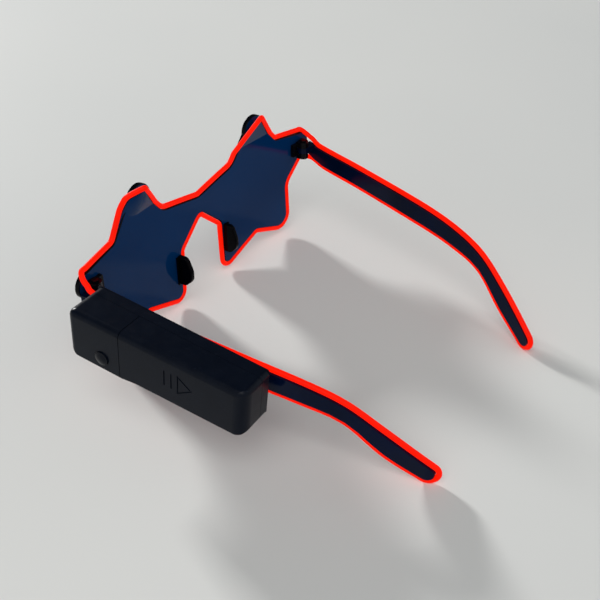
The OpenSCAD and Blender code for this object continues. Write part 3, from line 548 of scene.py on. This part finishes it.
def smooth_edge(points, step):
    """A smooth curve through an edge's points."""
    n = len(points)
    slope = [(points[min(i + 1, n - 1)][1] - points[max(i - 1, 0)][1])
             / (points[min(i + 1, n - 1)][0] - points[max(i - 1, 0)][0]) for i in range(n)]
    out = []
    for i in range(n - 1):
        (y0, z0), z1, h = points[i], points[i + 1][1], points[i + 1][0] - points[i][0]
        m = max(1, round(h / step))
        for t in [j / m for j in range(m)]:
            out.append(Vector((y0 + h * t, z0 * (2*t**3 - 3*t*t + 1) + h * slope[i] * (t**3 - 2*t*t + t)
                               + z1 * (3*t*t - 2*t**3) + h * slope[i + 1] * (t**3 - t*t))))
    return out


end_arc = [Vector((END_Y + END_ARC_R * math.cos(a), END_Z + END_ARC_R * math.sin(a)))
           for a in [math.radians(END_FROM - END_TURN * i / END_STEPS) for i in range(END_STEPS + 1)]]
temple_line = smooth_edge(TOP_EDGE, EDGE_STEP) + end_arc + smooth_edge(LOW_EDGE, EDGE_STEP)[::-1]


def bend_in(y):
    """How far the strip has come in towards the head."""
    return 0.0 if y < BEND_FROM else BEND_R - math.sqrt(BEND_R ** 2 - (y - BEND_FROM) ** 2)


def on_left(angle):
    """The left temple's frame, turned by an angle from straight back."""
    return Matrix.Translation((HINGE_X, HINGE_Y, 0)) @ Matrix.Rotation(angle, 4, "Z")


LEFT = on_left(TOE_IN)
RIGHT = Matrix.Scale(-1, 4, (1, 0, 0)) @ on_left(TOE_IN + RIGHT_REST)
print("temple outline of", len(temple_line), "points")

# %% The wire along each temple and over each hinge
temple_path = [Vector((TEMPLE_OFF - bend_in(p[0]), p[0], p[1])) for p in temple_line]
CROSSING_STEPS, CROSSING_PULL = 14, 0.42


def to_side(p, side):
    """A point on the wearer's left, or its mirror image for side -1."""
    return Vector((side * p[0], p[1], p[2]))


for side, place, body, other in ((1, LEFT, "left_temple", "left"), (-1, RIGHT, "right_temple", "right")):
    along = [place @ p for p in temple_path]
    piece = wire_piece(other + "_temple_glow", along)
    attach(piece, body)
    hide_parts(other + "_temple_wire")
    for name, start, way, at, ahead in (
            ("over", UPPER_STOP, -UPPER_BACK, along[0], along[0] - along[1]),
            ("under", LOWER_STOP, -LOWER_BACK, along[-1], along[-1] - along[-2])):
        first, way = to_side(start, side), to_side(way, side)
        reach = CROSSING_PULL * (at - first).length
        leave, meet = first + way.normalized() * reach, at + ahead.normalized() * reach
        crossing = [first] + bezier(first, leave, meet, at, CROSSING_STEPS)
        piece = wire_piece(other + "_hinge_wire_" + name, crossing)
        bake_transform(piece)

# %% [markdown]
# Sheets
#
# The star sheet is flat plastic, cut to shape and then curved. A filled outline has no points inside it,
# so it could not curve. A triangulation with a grid of inner points gives a surface that follows the
# curve, Solidify gives it its thickness, and a small Bevel rounds the cut edge.

# %% A curved sheet from a flat outline
def inside(p, loop):
    """True if the 2-D point p is inside the closed loop."""
    hit = False
    for a, b in zip(loop, loop[1:] + loop[:1]):
        if (a[1] > p[1]) != (b[1] > p[1]) and p[0] < (b[0] - a[0]) * (p[1] - a[1]) / (b[1] - a[1]) + a[0]:
            hit = not hit
    return hit


def near(p, loop, gap):
    """True if the point p is closer to the loop's points than gap."""
    return min((Vector(p) - q).length for q in loop) < gap


def right_of(u):
    """The direction to the right of u."""
    return Vector((u[1], -u[0]))


def moved_in(loop, gap):
    """A closed loop moved to its right, which is the sheet's side."""
    n = len(loop)
    return [p + gap * right_of((loop[(i + 1) % n] - loop[i - 1]).normalized()) for i, p in enumerate(loop)]


CLEAR_OF_LINE = 0.7


def sheet_points(loop, line, grid):
    """A grid of points inside line and clear of it."""
    xs, ys = [p[0] for p in loop], [p[1] for p in loop]
    points = [Vector((x * grid, y * grid)) for x in range(int(min(xs) / grid), int(max(xs) / grid) + 1)
              for y in range(int(min(ys) / grid), int(max(ys) / grid) + 1)]
    return [p for p in points if inside(p, line) and not near(p, line, CLEAR_OF_LINE * grid)]


GRID, SHARP_EDGE, SOFT_ANGLE = 2.0, 50, 40


def curved_sheet(name, loop, place, thickness, material, shade_band=0.6, bevel=0.3):
    """A sheet cut to loop and put in space by place, which takes a flat point to its middle surface."""
    line, n = moved_in(loop, shade_band), len(loop)
    ring = [(i, (i + 1) % n) for i in range(n)]
    edges = ring + [(n + i, n + j) for i, j in ring]
    found = delaunay_2d_cdt(loop + line + sheet_points(loop, line, GRID), edges, [], 1, 1e-6)
    verts, faces, made_from = found[0], found[2], found[3]
    holder = mesh_object(name, [place(v) * MM for v in verts], [list(f) for f in faces])
    # The outer loop's points are marked 1; on a window the band out to the inner loop gets painted shade.
    shade_layer = holder.data.attributes.new("shade_band", "FLOAT", "POINT")
    for slot, sources in zip(shade_layer.data, made_from):
        slot.value = 1.0 if min(sources, default=n) < n else 0.0
    wall = holder.modifiers.new("wall", "SOLIDIFY")
    wall.thickness, wall.offset, wall.use_even_offset = thickness * MM, 0.0, True
    edge = holder.modifiers.new("edge", "BEVEL")
    edge.width, edge.segments, edge.limit_method = bevel * MM, 3, "ANGLE"
    edge.angle_limit = math.radians(SHARP_EDGE)
    edge.harden_normals = False
    piece = plain_mesh(holder, name)
    smooth_by_angle(piece, SOFT_ANGLE)
    piece.data.materials.clear()
    piece.data.materials.append(material)
    print(name, "-", len(piece.data.polygons), "faces")
    return piece


def smooth_by_angle(obj, degrees):
    """Smooth shading, with edges sharper than the angle kept crisp."""
    mesh = obj.data
    mesh.polygons.foreach_set("use_smooth", [True] * len(mesh.polygons))
    work = bmesh.new()
    work.from_mesh(mesh)
    for e in work.edges:
        e.smooth = len(e.link_faces) != 2 or e.calc_face_angle(0.0) < math.radians(degrees)
    work.to_mesh(mesh)
    work.free()


# %% The star sheet
def edge_corner(p, q, s, steps=10):
    """A wire corner moved in to the sheet's edge, as a round corner of its own."""
    u, v = (flat(q) - flat(p)).normalized(), (flat(s) - flat(q)).normalized()
    n, m = right_of(u), right_of(v)
    c = flat(q) + EDGE_IN * (n + m) / (1 + n.dot(m))
    r = q[2] + (-EDGE_IN if u[0] * v[1] - u[1] * v[0] < 0 else EDGE_IN)
    return round_corner(c - (flat(q) - flat(p)), c, c + (flat(s) - flat(q)), r, steps)


def edge_hit(a, b, c, r, way):
    """Where the sheet's straight edge beside a to b meets the circle round c."""
    u = (flat(b) - flat(a)).normalized()
    p = flat(a) + EDGE_IN * right_of(u)
    foot = p + u * (Vector(c) - p).dot(u)
    return foot + way * math.sqrt(max(0.0, r * r - (foot - Vector(c)).length_squared)) * u


def round_end(a, b, p, q, c, r, steps=28):
    """The arc of a circle that sticks out between two straight edges."""
    start, stop = edge_hit(a, b, c, r, -1) - Vector(c), edge_hit(p, q, c, r, 1) - Vector(c)
    a0, a1 = math.atan2(start[1], start[0]), math.atan2(stop[1], stop[0])
    a1 -= 2 * math.pi if a1 > a0 else 0
    return [Vector(c) + r * Vector((math.cos(a), math.sin(a)))
            for a in [a0 + (a1 - a0) * i / steps for i in range(steps + 1)]]


SHEET_STEP = 1.6
BRIDGE, NOTCH = (0, BRIDGE_Z, 12), (0, NOTCH_Z, NOTCH_R)


def other_side(c):
    """The same corner on the other star."""
    return (-c[0], *c[1:])


def star_edge(side, tip):
    """One star's edge, bridge to notch; side is the corner before TOP_OUT, tip the round tip's centre."""
    return (edge_corner(BRIDGE, TOP_IN, TOP_TIP)
            + round_end(TOP_IN, TOP_TIP, side, TOP_OUT, tip, TIP_R)
            + edge_corner(side, TOP_OUT, UPPER_END)
            + round_end(TOP_OUT, UPPER_END, LOWER_END, SIDE_OUT, END_C, END_R)
            + edge_corner(LOWER_END, SIDE_OUT, FOOT_OUT) + edge_corner(SIDE_OUT, FOOT_OUT, FOOT_MID)
            + edge_corner(FOOT_OUT, FOOT_MID, FOOT_IN) + edge_corner(FOOT_MID, FOOT_IN, NOTCH_IN)
            + edge_corner(FOOT_IN, NOTCH_IN, NOTCH))


sheet_loop = (edge_corner(other_side(TOP_IN), BRIDGE, TOP_IN) + star_edge(TOP_SIDE, LEFT_TIP)
              + edge_corner(NOTCH_IN, NOTCH, other_side(NOTCH_IN)) + mirror_x(star_edge(TOP_TIP, RIGHT_TIP)))
sheet_loop = divide(sheet_loop + sheet_loop[:1], SHEET_STEP)[:-1]


def on_sheet(p):
    """A flat point on the middle of the wrapped sheet."""
    return Vector((p[0], wrap_y(p[0]), p[1]))


star_sheet = curved_sheet("star_sheet", sheet_loop, on_sheet, SHEET_T, WINDOW)
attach(star_sheet, "front")
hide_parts("lens_plate")

# %% [markdown]
# Leaning tips
#
# At each star's top the wire leans back off the sheet, and a thin leaf of the same plastic fills the
# corner under it. It could be bent out of the sheet itself, but the sheet's round tip goes straight up in
# front of it. So the leaf is a sheet of its own, cut to the wire's corners and put in place by the wire's
# own lean.

# %% The leaves of the tips
def on_line(a, b, height):
    """Where the sheet's edge beside the line a to b reaches a height."""
    a, b = flat(a), flat(b)
    return a.lerp(b, (height - a[1]) / (b[1] - a[1])) + EDGE_IN * right_of((b - a).normalized())


# The fourth value is the width of the leaf's band of painted shade along its cut edge.
LEAF_FROM, LEAF_T, LEAF_STEP, LEAF_SHADE_BAND, LEAF_SOFT = 54.6, 0.9, 1.2, 0.5, 0.2


def tip_leaf(name, corners, place, mirror=1):
    """The thin leaf of a star's tip, which leans back with the wire and fills the corner under it."""
    loop = [on_line(corners[0], corners[1], LEAF_FROM)]
    for p, q, s in zip(corners, corners[1:], corners[2:]):
        loop += edge_corner(p, q, s)
    loop.append(on_line(corners[-2], corners[-1], LEAF_FROM))
    loop = divide(loop + loop[:1], LEAF_STEP)[:-1]

    def placed(p):
        return to_side(place(p), mirror)
    leaf = curved_sheet(name, loop, placed, LEAF_T, WINDOW, LEAF_SHADE_BAND, LEAF_SOFT)
    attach(leaf, "front")


tip_leaf("left_tip_leaf", [TOP_IN, TOP_TIP, TOP_SIDE, TOP_OUT], left_point)
tip_leaf("right_tip_leaf", [TOP_IN, TOP_TIP, TOP_OUT], star_point, -1)

# %% [markdown]
# Battery box
#
# The real box is three black mouldings: an inner shell, a cap over the driver, and a cover that slides
# off the cell. A mould leaves soft outer edges, each of its own radius. Subdivision would lose the fit
# between the shells, so one form is made with a weighted Bevel, and a Boolean keeps what each CAD shell
# has inside that form. The walls, ribs and posts inside stay exact, and the three shells share one smooth
# skin.

# %% The box's place and sizes
BOX_W, BOX_REAR_W, BOX_H, BOX_STEP, BOX_L, SEAM_Y = 16.2, 14.3, 19.6, 0.8, 71.0, 21.7
BOX_GAP = 0.2
BOX_X, BOX_FROM, BOX_Z = TEMPLE_OFF + TEMPLE_T / 2 + BOX_GAP, 7.4, 49.7
BOX_YAW, BOX_PITCH = math.radians(5.4), math.radians(5.3)
BOX = (LEFT @ Matrix.Translation((BOX_X, BOX_FROM, BOX_Z))
       @ Matrix.Rotation(-BOX_YAW, 4, "Z") @ Matrix.Rotation(-BOX_PITCH, 4, "X"))
FROM_BOX = Matrix.Scale(MM, 4) @ BOX
TO_BOX = FROM_BOX.inverted()
SKIN = 0.06


def face_x(y):
    """The outer face, which comes in towards the rear."""
    return BOX_W - (BOX_W - BOX_REAR_W) * y / BOX_L - SKIN


print("box front corner at", [round(v, 2) for v in BOX.translation])

# %% The form with round edges
# Each corner of the side view: distance, height, radius of the edge across, radius of the next outer edge
BOX_CORNERS = [
    (SKIN, -SKIN, 3.0, 2.4),
    (BOX_L - SKIN, -SKIN, 2.0, 4.4),
    (BOX_L - SKIN, SKIN - BOX_H, 2.7, 0.9),
    (SEAM_Y + 6.6, SKIN - BOX_H, 0.53, 0.9),
    (SEAM_Y + 0.6, SKIN - BOX_H - BOX_STEP, 0.53, 0.9),
    (SKIN, SKIN - BOX_H - BOX_STEP / 2, 5.0, 2.6)]
INNER_EDGE, WIDEST, ROUND_STEPS = 0.5, 5.0, 7


def edge_radius(a, b):
    """The radius of the edge between two corners; the outer corners follow the inner ones."""
    n = len(BOX_CORNERS)
    if abs(a - b) == n:
        return BOX_CORNERS[min(a, b)][2]
    if max(a, b) < n:
        return INNER_EDGE
    low, high = sorted((a - n, b - n))
    return BOX_CORNERS[high if high - low > 1 else low][3]


def box_form():
    """The whole box's outer form in its own frame, in millimetres."""
    n = len(BOX_CORNERS)
    verts = [(SKIN, y, z) for y, z, *_ in BOX_CORNERS] + [(face_x(y), y, z) for y, z, *_ in BOX_CORNERS]
    faces = [tuple(range(n)), tuple(range(n, 2 * n))]
    faces += [(i, (i + 1) % n, n + (i + 1) % n, n + i) for i in range(n)]
    form = mesh_object("box_form", verts, faces)
    weights = form.data.attributes.new("bevel_weight_edge", "FLOAT", "EDGE")
    for slot, edge in zip(weights.data, form.data.edges):
        slot.value = edge_radius(*edge.vertices) / WIDEST
    bevel = form.modifiers.new("round", "BEVEL")
    bevel.width, bevel.segments, bevel.limit_method = WIDEST, ROUND_STEPS, "WEIGHT"
    bevel.use_clamp_overlap = False
    return plain_mesh(form, "box_form")


# %% The slide arrow on the cover
GROOVE_DEPTH, GROOVE_W = 0.3, 0.5
BAR_YS, BAR_ENDS = (40.3, 43.1), (-12.5, -6.1)
ARROW_AT, ARROW_L, ARROW_HALF, ARROW_HOLE = (47.4, -9.5), 4.0, 4.1, 0.74


def groove(outer, inner=()):
    """A cutter for a groove in the outer face, along a loop of (y, z) or between two loops."""
    points, n, up = [*outer, *inner], len(outer), len(outer) + len(inner)
    verts = [(face_x(y) - GROOVE_DEPTH, y, z) for y, z in points] + [(face_x(y) + 1, y, z) for y, z in points]
    turn = [(i, (i + 1) % n) for i in range(n)]
    faces = [(i, up + i, up + j, j) for i, j in turn]
    if inner:
        for i, j in turn:
            faces += [(i, j, n + j, n + i), (up + i, up + j, up + n + j, up + n + i),
                      (n + i, n + j, up + n + j, up + n + i)]
    else:
        faces += [tuple(range(n)), tuple(range(up, up + n))]
    return mesh_object("groove", verts, faces)


def arrow_head(size):
    """A triangle that points to the rear."""
    y, z = ARROW_AT
    blunt, tall = y - ARROW_L / 2 * size, ARROW_HALF * size
    return [(blunt, z + tall), (y + ARROW_L * size, z), (blunt, z - tall)]


def arrow_cutters():
    """The cutters of the two bars and the arrow head."""
    low, high = BAR_ENDS
    half = GROOVE_W / 2
    bars = [groove([(y - half, low), (y + half, low), (y + half, high), (y - half, high)]) for y in BAR_YS]
    return bars + [groove(arrow_head(1.0), arrow_head(ARROW_HOLE))]


# %% Booleans, and the three shells
def boolean(obj, tool, operation, name):
    """The Boolean of two objects as a plain mesh; the first object is used up."""
    step = obj.modifiers.new("boolean", "BOOLEAN")
    step.operation, step.solver, step.object = operation, "EXACT", tool
    return plain_mesh(obj, name)


def merged_copy(node):
    """The verts and faces of a CAD node's mesh as one piece."""
    work = bmesh.new()
    work.from_mesh(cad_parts[node].data)
    bmesh.ops.remove_doubles(work, verts=work.verts, dist=1e-6)
    work.verts.index_update()
    verts, faces = [v.co.copy() for v in work.verts], [[v.index for v in f.verts] for f in work.faces]
    work.free()
    mesh = bpy.data.meshes.new(node + "_copy")
    mesh.from_pydata(verts, [], faces)
    return mesh


BROAD_WEIGHT, SHELL_ANGLE = 80, 32


def finished(holder, name, angle, material):
    """Even shading over broad faces and round edges, then a plain mesh in its material."""
    smooth_by_angle(holder, angle)
    even = holder.modifiers.new("even", "WEIGHTED_NORMAL")
    even.keep_sharp, even.weight = True, BROAD_WEIGHT
    piece = plain_mesh(holder, name)
    piece.data.materials.clear()
    piece.data.materials.append(material)
    print(name, "-", len(piece.data.polygons), "faces")
    return piece


def box_shell(node, tool, name):
    """A CAD shell cut to the round form, as the piece that replaces it."""
    mesh = merged_copy(node)
    mesh.transform(TO_BOX)
    shell = boolean(link_object(name, mesh), tool, "INTERSECT", name)
    shell.data.transform(FROM_BOX)
    piece = finished(shell, name, SHELL_ANGLE, CASE)
    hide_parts(node)
    return piece


# The inner shell also has feet on the temple, so its form goes on through a slab on the temple's side.
SLAB_XS, SLAB_PAST = (-14, 0.45), 9
form = box_form()
slab_corners = [(x, y, z) for x in SLAB_XS for y in (-SLAB_PAST, BOX_L + SLAB_PAST)
                for z in (-BOX_H - SLAB_PAST, SLAB_PAST)]
slab_faces = [(0, 1, 3, 2), (4, 5, 7, 6), (0, 1, 5, 4), (2, 3, 7, 6), (0, 2, 6, 4), (1, 3, 7, 5)]
slab = mesh_object("slab", slab_corners, slab_faces)
form_faces = [list(f.vertices) for f in form.data.polygons]
form_copy = mesh_object("base_form", [v.co for v in form.data.vertices], form_faces)
base_form = boolean(form_copy, slab, "UNION", "base_form")
for cutter in arrow_cutters():
    form = boolean(form, cutter, "DIFFERENCE", "box_form")
    bpy.data.objects.remove(cutter)
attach(box_shell("box_base", base_form, "box_shell_inner"), "left_temple")
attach(box_shell("driver_cap", form, "box_cap"), "left_temple")
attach(box_shell("battery_cover", form, "box_cover"), "battery_cover")
for tool in (form, base_form, slab):
    bpy.data.objects.remove(tool)

# %% [markdown]
# Pads, hinges and button
#
# These small mouldings have the CAD's form, but a mould and a polish leave every edge soft, and a soft
# edge is what catches the light. A copy of each is merged, its flat faces are made whole, and a Bevel
# rounds what is sharp. Modelling them again would lose their fit. Only the pads get more: the part that
# rests on the nose is a rounder, curved blade, made as a sheet and joined to the CAD's foot and pegs by a
# Boolean.

# %% Softened copies of the small mouldings
SOFT = {
    "left_nose_pad": ("left_pad", "front", 0.45, PAD, "black_plastic"),
    "right_nose_pad": ("right_pad", "front", 0.45, PAD, "black_plastic"),
    "left_front_hinge": ("left_hinge_leaf", "front", 0.3, BLACK, "black_plastic"),
    "right_front_hinge": ("right_hinge_leaf", "front", 0.3, BLACK, "black_plastic"),
    "power_button": ("button", "power_button", 0.2, BUTTON, "button"),
}
PAD_X, PAD_T, PAD_REACH, PAD_LOW, PAD_HIGH = 14.95, 2.0, 6.7, 11.1, 25.2
PAD_STEP, PAD_CURVE, PAD_RIM, PAD_SOFT = 0.8, 0.004, 0.5, 0.55


def pad_blade(side):
    """The rounded blade that rests on the nose: a D-shaped sheet that curves away from the nose."""
    back = back_y(PAD_X)
    end, tall = back + PAD_REACH + 0.1, PAD_HIGH - PAD_LOW
    # The straight back lies at the sheet; the top, the end and the foot are round.
    corners = [(back, PAD_LOW), (back, PAD_HIGH - 0.6, 0.8), (back + 0.66 * PAD_REACH, PAD_HIGH, 4.4),
               (end, PAD_LOW + 0.55 * tall, 6.0), (end - 0.3, PAD_LOW + 0.22 * tall, 4.0),
               (back + 0.45 * PAD_REACH, PAD_LOW, 2.5), (back, PAD_LOW)]
    loop = divide(round_path(corners), PAD_STEP)[:-1]
    middle = PAD_LOW + tall / 2

    def place(p):
        return Vector((side * (PAD_X + PAD_CURVE * (p[1] - middle) ** 2), p[0], p[1]))
    return curved_sheet("pad_blade", loop, place, PAD_T, PAD, PAD_RIM, PAD_SOFT)


FLAT_ANGLE, BEVEL_ANGLE, SHADE_ANGLE = 1.5, 40, 35


def softened(node, name, width, material):
    """A copy of a CAD node with soft edges; a pad also gets its blade."""
    holder = link_object(name, merged_copy(node))
    work = bmesh.new()
    work.from_mesh(holder.data)
    bmesh.ops.dissolve_limit(work, angle_limit=math.radians(FLAT_ANGLE), verts=work.verts, edges=work.edges)
    work.to_mesh(holder.data)
    work.free()
    bevel = holder.modifiers.new("soft", "BEVEL")
    bevel.width, bevel.segments, bevel.limit_method = width * MM, 3, "ANGLE"
    bevel.angle_limit = math.radians(BEVEL_ANGLE)
    piece = plain_mesh(holder, name)
    if name.endswith("pad"):
        blade = pad_blade(1 if name.startswith("left") else -1)
        piece = boolean(piece, blade, "UNION", name)
        bpy.data.objects.remove(blade)
    return finished(piece, name, SHADE_ANGLE, material)


for node, (name, body, width, material, slot) in SOFT.items():
    piece = softened(node, name, width, material)
    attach(piece, body)
    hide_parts(node)

# %% [markdown]
# Carried-over pieces
#
# The temples, the screws and everything inside the box could be made again, but the CAD already has their
# shape, so each needs only the finish that the real one has.

# %% Materials of the carried-over nodes
KEPT = {
    TEMPLE: ("left_temple", "right_temple"),
    BLACK: ("left_hinge_screw", "right_hinge_screw"),
    STEEL: ("box_screws", "cap_screws", "contact_spring", "contact_plate"),
    BOARD: ("driver_board",),
    FERRITE: ("inverter_core",),
    COPPER: ("inverter_winding",),
    PART: ("tact_switch", "capacitor", "transistor"),
    LEAD: ("wire_lead",),
    CELL: ("battery_cell",),
}
for material, names in KEPT.items():
    for name in names:
        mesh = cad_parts[name].data
        mesh.materials.clear()
        mesh.materials.append(material)
print("carried over:", sum(len(names) for names in KEPT.values()), "nodes")

# %% [markdown]
# Table and light
#
# The object lies on a plain pale table. A small lamp, low in front of the glasses, gives the long shadow
# of the photograph. A large weak one above softens it, and the pale world fills the rest. A picture of a
# bright room could light it too, but lamps are easier to place.

# %% Table, lamp and world
TABLE_HALF, AIM = 6.0, Vector((0, 0.05, 0.02))


def table():
    """A plain table under the object."""
    mesh, w = bpy.data.meshes.new("table"), TABLE_HALF
    mesh.from_pydata([(-w, -w, 0), (w, -w, 0), (w, w, 0), (-w, w, 0)], [], [(0, 1, 2, 3)])
    obj = link_object("table", mesh)
    f = Finish("table_paint")
    colour = f.two_tone(f.noise(3, 2.0), srgb(212, 212, 208), srgb(206, 207, 204))
    f.link(colour, f.shader.inputs["Base Color"])
    f.link(f.bump(f.noise(500, 3.0), 2e-5), f.shader.inputs["Normal"])
    f.set(Roughness=0.7, Specular_IOR_Level=0.12)
    mesh.materials.append(f.material)


def lamp(name, towards, distance, size, power):
    """A square soft lamp, some metres from the object in a direction; its power is in watts."""
    light = bpy.data.lights.new(name, "AREA")
    light.energy, light.size = power, size
    obj = link_object(name, light)
    way = Vector(towards).normalized()
    facing = way.to_track_quat("Z", "Y").to_matrix().to_4x4()
    obj.matrix_world = Matrix.Translation(AIM + way * distance) @ facing


DARK_SIDE = Vector((-0.2, -0.6, 0.77)).normalized()
DARK_FROM, DARK_TO, PALE, DIM = 0.2, 0.68, 0.85, 0.06


def room():
    """A pale room, dark high up in front, where nothing should shine back off the box's top."""
    world = bpy.data.worlds.new("room")
    world.use_nodes = True
    tree = world.node_tree
    sky = tree.nodes["Background"]
    sky.inputs["Color"].default_value = (0.90, 0.93, 0.97, 1)
    way = tree.nodes.new("ShaderNodeTexCoord")
    towards = tree.nodes.new("ShaderNodeVectorMath")
    towards.operation = "DOT_PRODUCT"
    towards.inputs[1].default_value = DARK_SIDE
    fade = tree.nodes.new("ShaderNodeMapRange")
    limits = (("From Min", DARK_FROM), ("From Max", DARK_TO), ("To Min", PALE), ("To Max", DIM))
    for name, value in limits:
        fade.inputs[name].default_value = value
    tree.links.new(way.outputs["Generated"], towards.inputs[0])
    tree.links.new(towards.outputs["Value"], fade.inputs["Value"])
    tree.links.new(fade.outputs["Result"], sky.inputs["Strength"])
    return world


table()
lamp("key", (-0.64, -2.3, 1.0), 3.2, 0.42, 90.0)
lamp("fill", (0.9, 0.4, 1.3), 2.0, 1.4, 17.0)
bpy.context.scene.world = room()
bpy.context.scene.view_settings.view_transform = "Standard"
print("table, two lamps and the world are set")

# %% [markdown]
# Last step
#
# The view layer is brought up to date, so every piece stands where it was put.

# %% Bring the scene up to date
bpy.context.view_layer.update()
